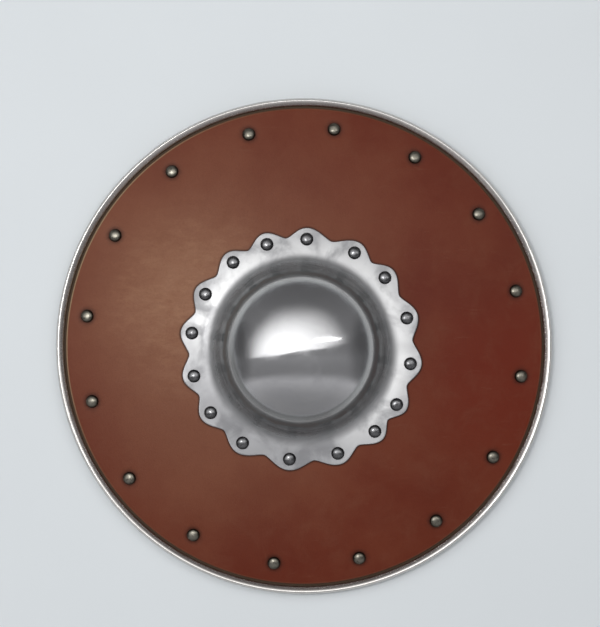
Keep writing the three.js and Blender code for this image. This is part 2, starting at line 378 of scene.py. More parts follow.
leather = {
    "bevel": 0.0009,
    "bevelSteps": 4,
    # its front's rings of points, from one radius to another in so many steps
    "bands": [(leatherHigh.x - 0.0025, 0.158, 17), (0.155, 0.102, 17), (0.1015, 0.0835, 36)],
    "dimple": 0.00025,       # how deep a rivet presses the leather
    "dimpleReach": 0.0115,   # from a rivet's middle
    "dimpleFloor": 0.45,     # the share of that reach that is pressed all the way
    "unevenness": 0.00012,
    "waves": (18, 55),       # of it to the metre, broad and fine
    # painted shadow round each rivet, partly grime, and a painted contact shadow outside the boss's edge:
    # full up to here, gone there, and how dark
    "rivetShadowAndGrime": (0.0045, 0.0085, 0.75),
    "bossShadow": (0.0002, 0.0022, 0.8),
    "bossReach": 0.103,      # beyond it, none is the boss's
    "browns": (rgb(0.130, 0.0225, 0.0105), rgb(0.156, 0.034, 0.0160)),
    # painted sheen: a paler tone where the key light's broad highlight falls on the leather, laid round the
    # place below and a little lower down
    "sheenTone": rgb(0.29, 0.135, 0.076),
    "sheenMost": 0.85,
    "fadeCurve": 1.25,
    "sheenPlace": (-0.088, 0.036, 0),
    # round a place: how far it reaches, how near it is full, and how much
    "wideSheen": (0.23, 0.03, 0.57),
    "narrowSheen": (0.10, 0.01, 0.5),
    "lowerSheen": ((-0.072, -0.098, 0), 0.14, 0.03, 0.24),
    # painted shade: darker, redder leather on the right, away from the painted sheen
    "shadedSide": ((0.175, -0.03, 0), 0.11, 0.02, 0.6),
    "shadedRed": rgb(0.15, 0.014, 0.005),
    # painted sheen in streaks beside the boss
    "sheenStreaks": rgb(0.43, 0.235, 0.135),
    # tones laid over the brown: between which values of their pattern, and how much
    "patches": (rgb(0.18, 0.064, 0.036), 0.42, 0.75, 0.25),
    "speckles": (rgb(0.075, 0.018, 0.01), 0.45, 0.7, 0.1),
    "scuffs": (rgb(0.21, 0.1, 0.06), 0.58, 0.78, 0.28),
    # the dark brown of the painted shadow round the rivets and the boss, partly grime
    "shadowAndGrime": rgb(0.03, 0.012, 0.008),
    "cutFibres": (rgb(0.23, 0.145, 0.085), rgb(0.38, 0.26, 0.155)),
    "cutEdge": (0.0013, 0.0010),  # where it begins and is full, in from the outside
    "cutLitSide": (0.17, 0.09, 1.0, 0.1),  # near the painted sheen's place, on the lit left side, and elsewhere
    "roughness": (0.36, 0.47),
}


def leatherFinish():
    finish = Finish("brown leather", Roughness=0.42, Specular_IOR_Level=0.12)
    mottle = finish.clouds(8, detail=5, roughness=0.6)
    patches = finish.clouds(45, detail=6, roughness=0.65, warp=0.6)
    speckles = finish.clouds(700, detail=3)
    streaks = finish.streaks((70, 170, 60), turn=0.9, detail=6, roughness=0.7)
    scuffs = finish.streaks((38, 240, 60), turn=0.5, detail=7, roughness=0.75)
    fibres = finish.streaks((500, 500, 2600))
    colour = finish.blend(finish.spread(mottle, 0.35, 0.68), *leather["browns"])

    # painted sheen: the leather is made paler round that place, standing in for the key light's highlight
    wide = finish.near(leather["sheenPlace"], *leather["wideSheen"])
    narrow = finish.near(leather["sheenPlace"], *leather["narrowSheen"])
    uneven = finish.spread(mottle, 0.3, 0.7, -0.08, 0.08)
    fade = finish.plus(wide, narrow, uneven, finish.near(*leather["lowerSheen"]))
    fade = finish.math("POWER", finish.math("MAXIMUM", fade, 0.0), leather["fadeCurve"])
    colour = finish.blend(finish.times(fade, leather["sheenMost"]), colour, leather["sheenTone"])
    # painted sheen: pale streaks inside its narrow part
    sheenStreaks = finish.times(narrow, finish.spread(streaks, 0.42, 0.7, 0, 0.6))
    colour = finish.blend(sheenStreaks, colour, leather["sheenStreaks"])
    # painted shade: darker, redder leather on the right side
    colour = finish.blend(finish.near(*leather["shadedSide"]), colour, leather["shadedRed"])

    colour = finish.coat(colour, patches, *leather["patches"])
    colour = finish.coat(colour, speckles, *leather["speckles"])
    colour = finish.coat(colour, scuffs, *leather["scuffs"])
    # painted shadow, partly grime, round the rivets and along the boss's edge
    colour = finish.blend(finish.attribute("shadowAndGrime"), colour, leather["shadowAndGrime"])
    # the cut edge's own tan, painted strong only on the lit left side near the painted sheen and faint
    # elsewhere
    edge = finish.spread(finish.fromAxis(), *(leatherHigh.x - inset for inset in leather["cutEdge"]))
    shown = finish.times(edge, finish.near(leather["sheenPlace"], *leather["cutLitSide"]))
    colour = finish.blend(shown, colour, finish.blend(fibres, *leather["cutFibres"]))

    creases = finish.clouds(260, detail=6, roughness=0.7, warp=1.2)
    normal = finish.bump(finish.spread(finish.cells(1100), 0.0, 0.22), 0.22, 0.00022)
    normal = finish.bump(creases, 0.25, 0.0004, normal)
    normal = finish.bump(patches, 0.2, 0.0008, normal)
    rough = finish.spread(patches, 0.3, 0.75, *leather["roughness"])
    finish.use(Base_Color=colour, Roughness=rough, Normal=normal)
    return finish.material


def shadowAndGrimeAt(spot):
    # painted shadow, partly grime, round each rivet, and painted contact shadow along the boss's scalloped
    # edge
    flat = Vector((spot.x, spot.y, 0))
    near, far, most = leather["rivetShadowAndGrime"]
    away = min((flat - place).length for place in facePlaces)
    dark = most * (1 - smoothStep(near, far, away))
    fromBoss = flat - bossRing["centre"]
    if fromBoss.length < leather["bossReach"]:
        near, far, most = leather["bossShadow"]
        away = fromBoss.length - lobeRadius(math.atan2(fromBoss.y, fromBoss.x))
        dark = max(dark, most * (1 - smoothStep(near, far, away)))
    return dark


def makeLeather():
    outer = leatherHigh.x
    bevel = leather["bevel"]
    corner = [
        (outer - bevel * (1 - math.sin(a)), leatherTop - bevel * (1 - math.cos(a)))
        for a in between(math.pi / 2, 0, leather["bevelSteps"])
    ]
    front = [(radius, leatherTop) for band in leather["bands"] for radius in between(*band)]
    line = [(handHole, leatherBase), (outer, leatherBase), *corner, *front]
    line += [(handHole, leatherTop), (handHole, leatherBase)]
    piece = spinLine("leather_cover", line, shield["turns"])
    broad, fine = leather["waves"]
    reach = leather["dimpleReach"]
    for vertex in piece.data.vertices:
        x, y, height = vertex.co
        if height > leatherBase + 1e-5:
            wave = noise.noise(Vector((x, y, 0)) * broad) + 0.5 * noise.noise(Vector((x, y, 0.1)) * fine)
            height += wave * leather["unevenness"]
            for place in facePlaces:
                away = (Vector((x, y, 0)) - place).length
                if away < reach:
                    pressed = 1 - smoothStep(reach * leather["dimpleFloor"], reach, away)
                    height -= leather["dimple"] * pressed
        vertex.co.z = height + backHeight(x, y)
    # painted shadow and grime, stored at each point
    addAttribute(piece, "shadowAndGrime", shadowAndGrimeAt)
    finishPiece(piece, leatherFinish(), ["leather_face"])


makeLeather()
print("leather made")


# Board

board = {
    "rings": 30,
    "holeRound": 0.0012,
    "browns": (rgb(0.12, 0.065, 0.031), rgb(0.27, 0.165, 0.085)),
    # tones laid over the brown: between which values of their pattern, and how much
    "pores": (rgb(0.07, 0.036, 0.018), 0.52, 0.7, 0.6),
    "stains": (rgb(0.085, 0.047, 0.024), 0.5, 0.75, 0.4),
    "rimGapShade": (rgb(0.075, 0.050, 0.033), 0.1885, 0.1905),  # painted shade in the gap beside the rim and outwards, by radius
    "roughness": (0.5, 0.72),
}


def woodFinish():
    finish = Finish("stained wood", Roughness=0.6, Specular_IOR_Level=0.08)
    grain = finish.streaks((6, 70, 70), detail=8, roughness=0.65, warp=1.1)
    pores = finish.streaks((60, 1500, 1500), detail=3, roughness=0.6)
    stains = finish.clouds(14, detail=4)
    colour = finish.blend(finish.spread(grain, 0.3, 0.7), *board["browns"])
    colour = finish.coat(colour, pores, *board["pores"])
    colour = finish.coat(colour, stains, *board["stains"])
    # painted shade: the wood is darkened from beside the leather's edge outwards, for the shadowed gap by the
    # rim
    colour = finish.coat(colour, finish.fromAxis(), *board["rimGapShade"])
    normal = finish.bump(pores, 0.35, 0.0003)
    normal = finish.bump(grain, 0.2, 0.0006, normal)
    rough = finish.spread(pores, 0.3, 0.7, *board["roughness"])
    finish.use(Base_Color=colour, Roughness=rough, Normal=normal)
    return finish.material


def makeBoard():
    outer = boardHigh.x
    thick = shield["boardThickness"]
    soft = board["holeRound"]
    low = [(radius, 0) for radius in between(handHole + soft, outer, board["rings"])]
    high = [(radius, thick) for radius in between(outer, handHole + soft, board["rings"])]
    line = [*low, *high, (handHole, thick - soft), (handHole, soft), low[0]]
    piece = spinLine("wooden_board", line, shield["turns"])
    for vertex in piece.data.vertices:
        vertex.co.z += backHeight(vertex.co.x, vertex.co.y)
    finishPiece(piece, woodFinish(), ["board"])


makeBoard()
print("board made")


# Rim

rim = {
    "sheet": 0.0013,
    "width": 0.0067,         # from the lip's edge to the outside
    "nose": 0.0025,          # from the crest to the outside
    "crestRise": 0.0024,     # of the crest above the lip's edge
    "shoulder": (0.0026, 0.0003),  # from the lip's edge, and below the crest, to the bend of the inner slope
    "lipRound": 0.0003,
    "footFlat": 0.001,
    "footRound": 0.0024,
    "steps": {"foot": 8, "nose": 12, "slope": 10},
    "unevenness": 0.00012,
    "waves": 22,             # of it to the metre
    "waveTop": 0.7,          # a wave is worn down from here, so none rises
    "steels": (rgb(0.76, 0.735, 0.705), rgb(0.65, 0.625, 0.595)),
    # painted shade laid over the steel, on the slope to the lip and on the outer flank: where each begins and
    # is full, in from the outside, and how much
    "slopeShade": (rgb(0.50, 0.455, 0.43), 0.0028, 0.0046, 1.0),
    "flankShade": (rgb(0.40, 0.375, 0.35), 0.0018, 0.0006, 0.75),
    "marks": 9000,           # buffing marks to the metre
    "roughness": (0.2, 0.3),
}


def rimFinish():
    finish = Finish("polished rim steel", Metallic=1.0, Roughness=0.25)
    marks = finish.rings(rim["marks"])
    patches = finish.clouds(90, detail=5, roughness=0.7)
    tint = finish.blend(finish.spread(patches, 0.35, 0.7), *rim["steels"])
    # painted shade: the rim's slope and outer flank get darker copies of the steel
    for tone, start, full, most in (rim["slopeShade"], rim["flankShade"]):
        tint = finish.coat(tint, finish.fromAxis(), tone, rimHigh.x - start, rimHigh.x - full, most)
    rough = finish.spread(marks, 0.35, 0.7, *rim["roughness"])
    rough = finish.plus(rough, finish.spread(patches, 0.4, 0.7, 0, 0.08))
    finish.use(Base_Color=tint, Roughness=rough, Normal=finish.bump(marks, 0.03, 0.0001))
    return finish.material


def rimLine():
    # its section as [radius, height]: the rolled foot, nose and slope, then the slot for the board
    outer, gap, steps = rimHigh.x, shield["gap"], rim["steps"]
    lip = outer - rim["width"]
    frontOf = backHeight(lip, 0) + shield["boardThickness"] + gap
    seat, seatBack = boardHigh.x + gap, boardLow.z - gap
    lipTop = frontOf + rim["sheet"]
    crest = lipTop + rim["crestRise"]
    middle = boardLow.z + shield["boardThickness"] / 2
    nose, foot, soft = rim["nose"], rim["footRound"], rim["lipRound"]
    under = [
        (outer - foot + foot * math.sin(a), middle - middle * math.cos(a))
        for a in between(0, math.pi / 2, steps["foot"])
    ]
    over = [
        (outer - nose + nose * math.cos(a), middle + (crest - middle) * math.sin(a))
        for a in between(0, math.pi / 2, steps["nose"])
    ]
    crestPlace, lipPlace = Vector((outer - nose, crest)), Vector((lip + soft, lipTop))
    turnPlace = Vector((lip + rim["shoulder"][0], crest - rim["shoulder"][1]))
    slope = [
        tuple((1 - t) ** 2 * crestPlace + 2 * t * (1 - t) * turnPlace + t * t * lipPlace)
        for t in between(0, 1, steps["slope"])
    ]
    line = [(lip, 0), (lip + rim["footFlat"], 0), *under, *over[1:], *slope[1:], (lip, lipTop - soft)]
    return line + [(lip, frontOf), (seat, frontOf), (seat, seatBack), (lip, seatBack), (lip, 0)]


def makeRim():
    piece = spinLine("rolled_rim", rimLine(), shield["turns"])
    middle = boardLow.z + shield["boardThickness"] / 2
    for vertex in piece.data.vertices:
        if vertex.co.z > middle:
            wave = noise.noise(vertex.co * rim["waves"]) - rim["waveTop"]
            vertex.co.z += min(wave, 0) * rim["unevenness"]
    finishPiece(piece, rimFinish(), ["rim"], angle=50)


makeRim()
print("rim made")


# Boss

boss = {
    "turns": 320,
    "domeHalfWidth": 0.067,  # of the ellipse that the dome follows
    "domeHeight": 0.0489,
    "wallTop": 63.5,         # degrees of slope where the dome ends
    "wallFoot": 50,
    "wallRun": 0.0066,
    "footFillet": 0.0124,
    "edgeRound": 0.00035,
    "steps": {"dome": 40, "wall": 10, "fillet": 8, "flange": 14},
    "flangeRun": 0.02,       # before it is fitted to the scallops
    "unevenness": 0.00018,
    "waves": (26, 60),       # of it to the metre, broad and fine
    "waveTop": 0.8,          # a wave is worn down from here, so none rises
    # the looks of its steel by radius: where each begins and is full, and where it ends again
    "brushed": (0.066, 0.081),
    "outer": (0.080, 0.091),
    "ring": (0.0515, 0.0535, 0.0560, 0.0575),
    # the wall and steep bands carry painted shade: darker, duller steel in place of the dark reflections
    # there
    "wall": (0.0545, 0.0575, 0.066, 0.076),
    "steep": (0.0575, 0.0590, 0.0612, 0.0632),
    "shaded": ((-0.038, -0.066, 0), 0.10, 0.045),  # a place, how far it reaches and how near it is full
    "polished": (rgb(0.60, 0.60, 0.605), rgb(0.54, 0.54, 0.55)),
    "tones": {
        "brushed": rgb(0.64, 0.64, 0.64),
        "outer": rgb(0.50, 0.50, 0.505),
        "shaded": rgb(0.41, 0.41, 0.42),
        "worn": rgb(0.27, 0.27, 0.28),
        "wall": rgb(0.165, 0.169, 0.172),
        "paleLines": rgb(0.28, 0.285, 0.29),
        "darkLines": rgb(0.09, 0.092, 0.094),
        "steep": rgb(0.155, 0.172, 0.175),
        "ring": rgb(0.49, 0.482, 0.476),
        "shadedRing": rgb(0.185, 0.18, 0.177),
    },
    "marks": 5200,           # buffing marks to the metre
    "turnedLines": 450,      # broader lines in the wall, to the metre
    "roughness": (0.08, 0.14),
    "brushedRoughness": 0.26,  # more of it where the steel is brushed
    "footRoughness": (0.0615, 0.0660, 0, 0.12),  # from here by radius to there, and how much more
    "wallNotMetal": 0.55,
}


def bossFinish():
    finish = Finish("polished boss steel", Anisotropic=0.75, Anisotropic_Rotation=0.25)
    centre = tuple(bossRing["centre"])
    marks = finish.rings(boss["marks"], centre)
    turned = finish.rings(boss["turnedLines"], centre)
    scratches = finish.streaks((160, 2600, 900), turn=0.9, detail=6, roughness=0.75)
    smears = finish.clouds(32, detail=6, roughness=0.65, warp=0.8)
    worn = finish.clouds(34, detail=5, roughness=0.55, warp=0.4)
    dents = finish.clouds(32, detail=1.5, roughness=0.4, warp=0.3)

    radius = finish.fromAxis(centre)
    brushed = finish.spread(radius, *boss["brushed"])
    shaded = finish.near(*boss["shaded"])
    ring = finish.band(radius, *boss["ring"])
    wall = finish.band(radius, *boss["wall"])
    coats = {
        "brushed": brushed,
        "outer": finish.spread(radius, *boss["outer"]),
        "shaded": finish.times(shaded, brushed),
        "worn": finish.times(brushed, finish.spread(worn, 0.45, 0.62, 0, 0.75)),
        # painted shade on the wall and the steep band
        "wall": wall,
        "paleLines": finish.times(wall, finish.spread(turned, 0.52, 0.66, 0, 0.6)),
        "darkLines": finish.times(wall, finish.spread(turned, 0.46, 0.34, 0, 0.6)),
        "steep": finish.band(radius, *boss["steep"]),
        "ring": ring,
        "shadedRing": finish.times(ring, shaded, 0.75),
    }
    tint = finish.blend(finish.spread(smears, 0.35, 0.7), *boss["polished"])
    for name, share in coats.items():
        tint = finish.blend(share, tint, boss["tones"][name])

    rough = finish.spread(marks, 0.35, 0.7, *boss["roughness"])
    smeared = finish.spread(smears, 0.42, 0.66, 0, 0.09)
    rough = finish.plus(rough, smeared, finish.times(brushed, boss["brushedRoughness"]))
    rough = finish.plus(rough, finish.spread(radius, *boss["footRoughness"]))
    normal = finish.bump(finish.times(dents, brushed), 0.3, 0.0018)
    normal = finish.bump(marks, 0.05, 0.0001, normal)
    normal = finish.bump(scratches, 0.05, 0.0001, normal)
    # less metal on the wall, as part of its painted shade
    metal = finish.math("SUBTRACT", 1.0, finish.times(wall, boss["wallNotMetal"]))
    tangent = finish.add("ShaderNodeTangent", direction_type="RADIAL", axis="Z")
    finish.use(Base_Color=tint, Metallic=metal, Roughness=rough, Normal=normal, Tangent=tangent.outputs[0])
    return finish.material


def bossLine():
    # the outside from its top to its foot, as [radius, height above the flange's top]
    width, height, steps = boss["domeHalfWidth"], boss["domeHeight"], boss["steps"]
    top, foot = math.radians(boss["wallTop"]), math.radians(boss["wallFoot"])
    sweep = math.atan(math.tan(top) * width / height)
    line = [(width * math.sin(a), height * math.cos(a)) for a in between(0, sweep, steps["dome"])]

    def stepDown(run, slope):
        radius, level = line[-1]
        line.append((radius + run, level - run * math.tan(slope)))

    for i in range(steps["wall"]):
        share = (i + 0.5) / steps["wall"]
        stepDown(boss["wallRun"] / steps["wall"], top + (foot - top) * share)
    arc = between(foot, 0, steps["fillet"])
    for before, after in zip(arc, arc[1:]):
        run = boss["footFillet"] * (math.sin(before) - math.sin(after))
        stepDown(run, (before + after) / 2)
    floor = line[-1][1]
    return [(radius, level - floor) for radius, level in line]


def makeBoss():
    raised = bossLine()
    footRadius, run = raised[-1][0], boss["flangeRun"]
    flange = [(radius, 0) for radius in between(footRadius, footRadius + run, boss["steps"]["flange"])[1:]]
    piece = spinLine("domed_boss", raised + flange, boss["turns"], inside=True)
    centre = bossRing["centre"]
    broad, fine = boss["waves"]
    for vertex in piece.data.vertices:
        x, y, height = vertex.co
        radius = math.hypot(x, y)
        wave = noise.noise(Vector((x, y, height)) * broad) + 0.6 * noise.noise(Vector((x, y, height)) * fine)
        if radius > footRadius:
            turn = math.atan2(y, x)
            radius = footRadius + (lobeRadius(turn) - footRadius) * (radius - footRadius) / run
            x, y = radius * math.cos(turn), radius * math.sin(turn)
        height += min(wave - boss["waveTop"], 0) * boss["unevenness"]
        x += centre.x
        y += centre.y
        vertex.co = (x, y, height + flangeTop + backHeight(x, y))
    applyModifier(piece, "SOLIDIFY", thickness=shield["bossSheet"], offset=-1, use_even_offset=True)
    applyModifier(piece, "BEVEL", width=boss["edgeRound"], segments=2, limit_method="ANGLE", angle_limit=0.9)
    finishPiece(piece, bossFinish(), ["boss"], angle=50)


makeBoss()
print("boss made")


# Rivets

rivet = {
    "turns": 32,
    "head": 0.0052,
    "headHeight": 0.0031,
    "headEdge": 0.0003,      # the upright part of it
    "shank": 0.0023,
    "tail": 0.0039,
    "tailHeight": 0.0015,
    "steps": {"head": 12, "tail": 6},
    "sink": 0.0003,          # below the solid's seat, so that the head bears on what it holds
    "crownFrom": 0.001,      # the height where a head's painted shade at its foot starts to give way to the painted highlight on its crown
    "unevenness": 0.00016,
    "waves": 260,            # of it to the metre
    "seedStep": 3.1,         # from one rivet's waves to the next one's
    "turnStep": 1.7,
    "bossSeed": 20,          # the first boss rivet's
    # name, the tone of the painted shade at a head's foot and of the painted highlight on its crown, and
    # roughness
    "faceMetal": ("antique rivet", rgb(0.03, 0.022, 0.014), rgb(0.26, 0.245, 0.205), 0.31),
    "bossMetal": ("dark rivet", rgb(0.018, 0.018, 0.019), rgb(0.21, 0.21, 0.215), 0.24),
}


def rivetFinish(name, dark, bright, rough):
    finish = Finish(name, Metallic=1.0, Roughness=rough)
    spots = finish.clouds(420, detail=5, roughness=0.7)
    # painted highlight on each head's crown and painted shade towards its foot, broken by random worn spots
    worn = finish.times(finish.attribute("crown"), finish.spread(spots, 0.3, 0.55, 0.6, 1.0))
    colour = finish.blend(worn, dark, bright)
    uneven = finish.spread(spots, 0.3, 0.7, rough - 0.06, rough + 0.1)
    finish.use(Base_Color=colour, Roughness=uneven, Normal=finish.bump(spots, 0.25, 0.0003))
    return finish.material


def makeRivet(stack):
    # for layers of this height, with the head's seat at 0
    head, height, edge = rivet["head"], rivet["headHeight"], rivet["headEdge"]
    shank, tail, steps = rivet["shank"], rivet["tail"], rivet["steps"]
    quarter = math.pi / 2
    dome = [
        (head * math.sin(a), edge + (height - edge) * math.cos(a)) for a in between(0, quarter, steps["head"])
    ]
    peened = [
        (tail * math.cos(a), -stack - rivet["tailHeight"] * math.sin(a))
        for a in between(0, quarter, steps["tail"])
    ]
    line = [*dome, (head, 0), (shank, 0), (shank, -stack), *peened]
    piece = spinLine("rivet", line, rivet["turns"])
    # height share on the head, which sets its painted shade and highlight
    addAttribute(piece, "crown", lambda spot: smoothStep(rivet["crownFrom"], height, spot.z))
    return piece


def standRivet(model, node, place, seat, material, seed):
    # a copy with its own mesh, square to the bowl
    makeActive(model)
    bpy.ops.object.duplicate()
    piece = bpy.context.active_object
    piece.name = "round_head_" + node
    shift = Vector((seed * rivet["seedStep"], 0, 0))
    for vertex in piece.data.vertices:
        if vertex.co.z > rivet["headEdge"] + 1e-5:
            wave = noise.noise(vertex.co * rivet["waves"] + shift)
            vertex.co += vertex.co.normalized() * (wave - 0.5) * rivet["unevenness"]
    upright = leanAt(place).to_track_quat("Z", "Y").to_matrix().to_4x4()
    spun = Matrix.Rotation(seed * rivet["turnStep"], 4, "Z")
    level = backHeight(place.x, place.y) + seat - rivet["sink"]
    piece.matrix_world = Matrix.Translation((place.x, place.y, level)) @ upright @ spun
    finishPiece(piece, material, [node], angle=60)


def makeRivets():
    faceMetal, bossMetal = rivetFinish(*rivet["faceMetal"]), rivetFinish(*rivet["bossMetal"])
    faceSeat = leatherTop + shield["gap"]
    bossSeat = flangeTop + shield["gap"]
    faceModel, shortModel = makeRivet(faceSeat), makeRivet(bossSeat)
    longModel = makeRivet(bossSeat + grip["strapThickness"] + shield["gap"])
    for i, place in enumerate(facePlaces):
        standRivet(faceModel, "face_rivet_%02d" % (i + 1), place, faceSeat, faceMetal, i)
    for i, place in enumerate(bossPlaces):
        model = longModel if i in grip["rivets"] else shortModel
        seed = rivet["bossSeed"] + i
        standRivet(model, "boss_rivet_%02d" % (i + 1), place, bossSeat, bossMetal, seed)
    for model in (faceModel, shortModel, longModel):
        bpy.data.objects.remove(model)


# Grip

grip = {
    "rivets": (7, 15),       # the boss rivets that hold the strap, counted from 0
    "strapWidth": 0.02,
    "strapThickness": 0.003,
    "strapTab": 0.011,       # beyond a rivet's middle
    "bend": 0.003,           # from the hand hole's edge
    "tabCorner": 0.004,
    "edgeRound": 0.0006,
    "strapSteels": (rgb(0.14, 0.135, 0.13), rgb(0.25, 0.245, 0.24)),
    "rust": (rgb(0.12, 0.055, 0.03), 0.6, 0.75, 0.5),
    "strapRoughness": (0.34, 0.58),
    # the handle
    "depth": 0.025,
    "breadth": 0.031,
    "barrel": 0.006,         # half the length that isn't tapered
    "taper": 0.86,
    "endRound": 0.003,
    "endRoom": 0.016,        # between its end and the hand hole's edge
    "handleSteps": (120, 96),  # along it and round it
    "slotRoom": 0.0006,      # the strap's slot, over the strap's own size
    "wrapPitch": 0.0135,
    "wrapThickness": 0.0009,
    "wrapFade": 0.0012,      # before the end
    "wrapLow": 0.25,         # the strip's share of its thickness where it starts and ends
    "wrapEdge": 0.12,        # the share of a lap where its edge rises
    "wrapLean": 0.75,        # how much of the rise it loses to the end of its lap
    "wrapWave": (0.00012, 300),  # its size, and how many to the metre
    "worn": (0.1, 0.06, 0.14),  # round this share of a lap: all up to here, and none from there
    "wrapBrowns": (rgb(0.03, 0.014, 0.008), rgb(0.075, 0.035, 0.018)),
    "wornBrown": rgb(0.11, 0.06, 0.032),
    "wrapRoughness": (0.48, 0.68),
}
# the line between the feet of the two rivets that hold the strap, as seen from the front
gripFeet = [bossPlaces[i] - leanAt(bossPlaces[i]) * (flangeTop + shield["gap"]) for i in grip["rivets"]]
gripLeft, gripRight = [Vector((foot.x, foot.y, 0)) for foot in gripFeet]
gripMiddle = (gripLeft + gripRight) / 2
gripAlong = (gripRight - gripLeft).normalized()
strapBend = handHole + grip["bend"]
strapEnd = (gripRight - gripLeft).length / 2 + grip["strapTab"]


def strapTopAt(distance):
    spot = gripMiddle + gripAlong * distance
    return backHeight(spot.x, spot.y) - 2 * shield["gap"]


strapLevel = min(strapTopAt(strapBend), strapTopAt(-strapBend))


def gripPlace(height):
    turn = math.atan2(gripAlong.y, gripAlong.x)
    return Matrix.Translation((gripMiddle.x, gripMiddle.y, height)) @ Matrix.Rotation(turn, 4, "Z")


def strapFinish():
    finish = Finish("forged strap steel", Metallic=1.0, Roughness=0.45)
    hammer = finish.cells(150, feature="SMOOTH_F1")
    scale = finish.clouds(130, detail=7, roughness=0.7)
    rust = finish.clouds(38, detail=6, roughness=0.7)
    colour = finish.blend(finish.spread(scale, 0.35, 0.68), *grip["strapSteels"])
    colour = finish.coat(colour, rust, *grip["rust"])
    normal = finish.bump(hammer, 0.3, 0.0009)
    normal = finish.bump(scale, 0.25, 0.0003, normal)
    rough = finish.spread(scale, 0.3, 0.7, *grip["strapRoughness"])
    finish.use(Base_Color=colour, Roughness=rough, Normal=normal)
    return finish.material


def wrapFinish():
    finish = Finish("dark grip leather", Roughness=0.6, Specular_IOR_Level=0.3)
    mottle = finish.clouds(70, detail=6, roughness=0.65)
    colour = finish.blend(finish.spread(mottle, 0.35, 0.7), *grip["wrapBrowns"])
    colour = finish.blend(finish.attribute("edge"), colour, grip["wornBrown"])
    normal = finish.bump(finish.spread(finish.cells(950), 0, 0.22), 0.35, 0.0003)
    normal = finish.bump(mottle, 0.3, 0.0005, normal)
    rough = finish.spread(mottle, 0.3, 0.7, *grip["wrapRoughness"])
    finish.use(Base_Color=colour, Roughness=rough, Normal=normal)
    return finish.material


def makeStrap():
    thick = grip["strapThickness"]
    deselectAll()
    bpy.ops.mesh.primitive_cube_add(size=1, location=(0, 0, 0))
    piece = bpy.context.active_object
    piece.name = "steel_strap"
    piece.scale = (2 * strapBend, grip["strapWidth"], thick)
    piece.location = (0, 0, strapLevel - thick / 2)
    bpy.ops.object.transform_apply(location=True, scale=True)
    for side in (-1, 1):
        editOnly(piece, "FACE", lambda face: face.normal.x * side > 0.9)
        step = ((strapEnd - strapBend) * side, 0, strapTopAt(strapEnd * side) - strapLevel)
        bpy.ops.mesh.extrude_region_move(TRANSFORM_OT_translate={"value": step})

    def isTabCorner(edge):
        first, second = [piece.data.vertices[i].co for i in edge.vertices]
        upright = abs(first.x - second.x) < 1e-5 and abs(first.y - second.y) < 1e-5
        return upright and abs(abs(first.x) - strapEnd) < 1e-4

    editOnly(piece, "EDGE", isTabCorner)
    bpy.ops.mesh.bevel(offset=grip["tabCorner"], segments=6, affect="EDGES")
    bpy.ops.object.mode_set(mode="OBJECT")
    applyModifier(piece, "BEVEL", width=grip["edgeRound"], segments=2, limit_method="ANGLE", angle_limit=0.9)
    piece.matrix_world = gripPlace(0)
    finishPiece(piece, strapFinish(), ["grip_strap"], angle=40)


def makeHandle():
    # made upright, then laid along the strap
    half = handHole - grip["endRoom"]
    wrap, thick, room = grip["wrapThickness"], grip["strapThickness"], grip["slotRoom"]
    along, around = grip["handleSteps"]

    def barrelRadius(distance):
        last, soft = half - grip["endRound"], grip["endRound"]
        narrow = 1 - (1 - grip["taper"]) * smoothStep(grip["barrel"], last, abs(distance))
        radius = (grip["depth"] / 2 - wrap) * narrow
        past = max(abs(distance) - last, 0) / soft
        return radius - soft * (1 - math.sqrt(max(1 - past * past, 0)))

    def lapAt(spot):
        # the share of the strip's lap round the handle
        return (spot.z / grip["wrapPitch"] + math.atan2(spot.y, spot.x) / math.tau) % 1

    def fadeAt(spot):
        return 1 - smoothStep(half - grip["wrapFade"], half, abs(spot.z))

    def wornAt(spot):
        middle, near, far = grip["worn"]
        return (1 - smoothStep(near, far, abs(lapAt(spot) - middle))) * fadeAt(spot)

    line = [(0, -half), *((barrelRadius(d), d) for d in between(-half, half, along)), (0, half)]
    piece = spinLine("bound_handle", line, around)
    addAttribute(piece, "edge", wornAt)
    size, count = grip["wrapWave"]
    for vertex in piece.data.vertices:
        radius = math.hypot(vertex.co.x, vertex.co.y)
        if radius > 1e-5:
            lap, edge = lapAt(vertex.co), grip["wrapEdge"]
            strip = smoothStep(0, edge, lap) * (1 - grip["wrapLean"] * smoothStep(edge, 1, lap))
            rise = grip["wrapLow"] + (1 - grip["wrapLow"]) * strip
            growth = wrap * rise * fadeAt(vertex.co) + size * noise.noise(vertex.co * count)
            vertex.co.x *= 1 + growth / radius
            vertex.co.y *= (1 + growth / radius) * grip["breadth"] / grip["depth"]
    piece.matrix_world = Matrix.Rotation(math.pi / 2, 4, "Y")
    makeActive(piece)
    bpy.ops.object.transform_apply(rotation=True)
    deselectAll()
    bpy.ops.mesh.primitive_cube_add(size=1, location=(0, 0, 0))
    slot = bpy.context.active_object
    slot.scale = (3 * half, grip["strapWidth"] + room, thick + room)  # well past both ends
    bpy.ops.object.transform_apply(scale=True)
    applyModifier(piece, "BOOLEAN", object=slot, operation="DIFFERENCE", solver="EXACT")
    bpy.data.objects.remove(slot)
    piece.matrix_world = gripPlace(strapLevel - thick / 2)
    finishPiece(piece, wrapFinish(), ["grip_handle"], angle=50)


makeRivets()
print("rivets made")
makeStrap()
makeHandle()
print("grip made")


# Floor, light and camera

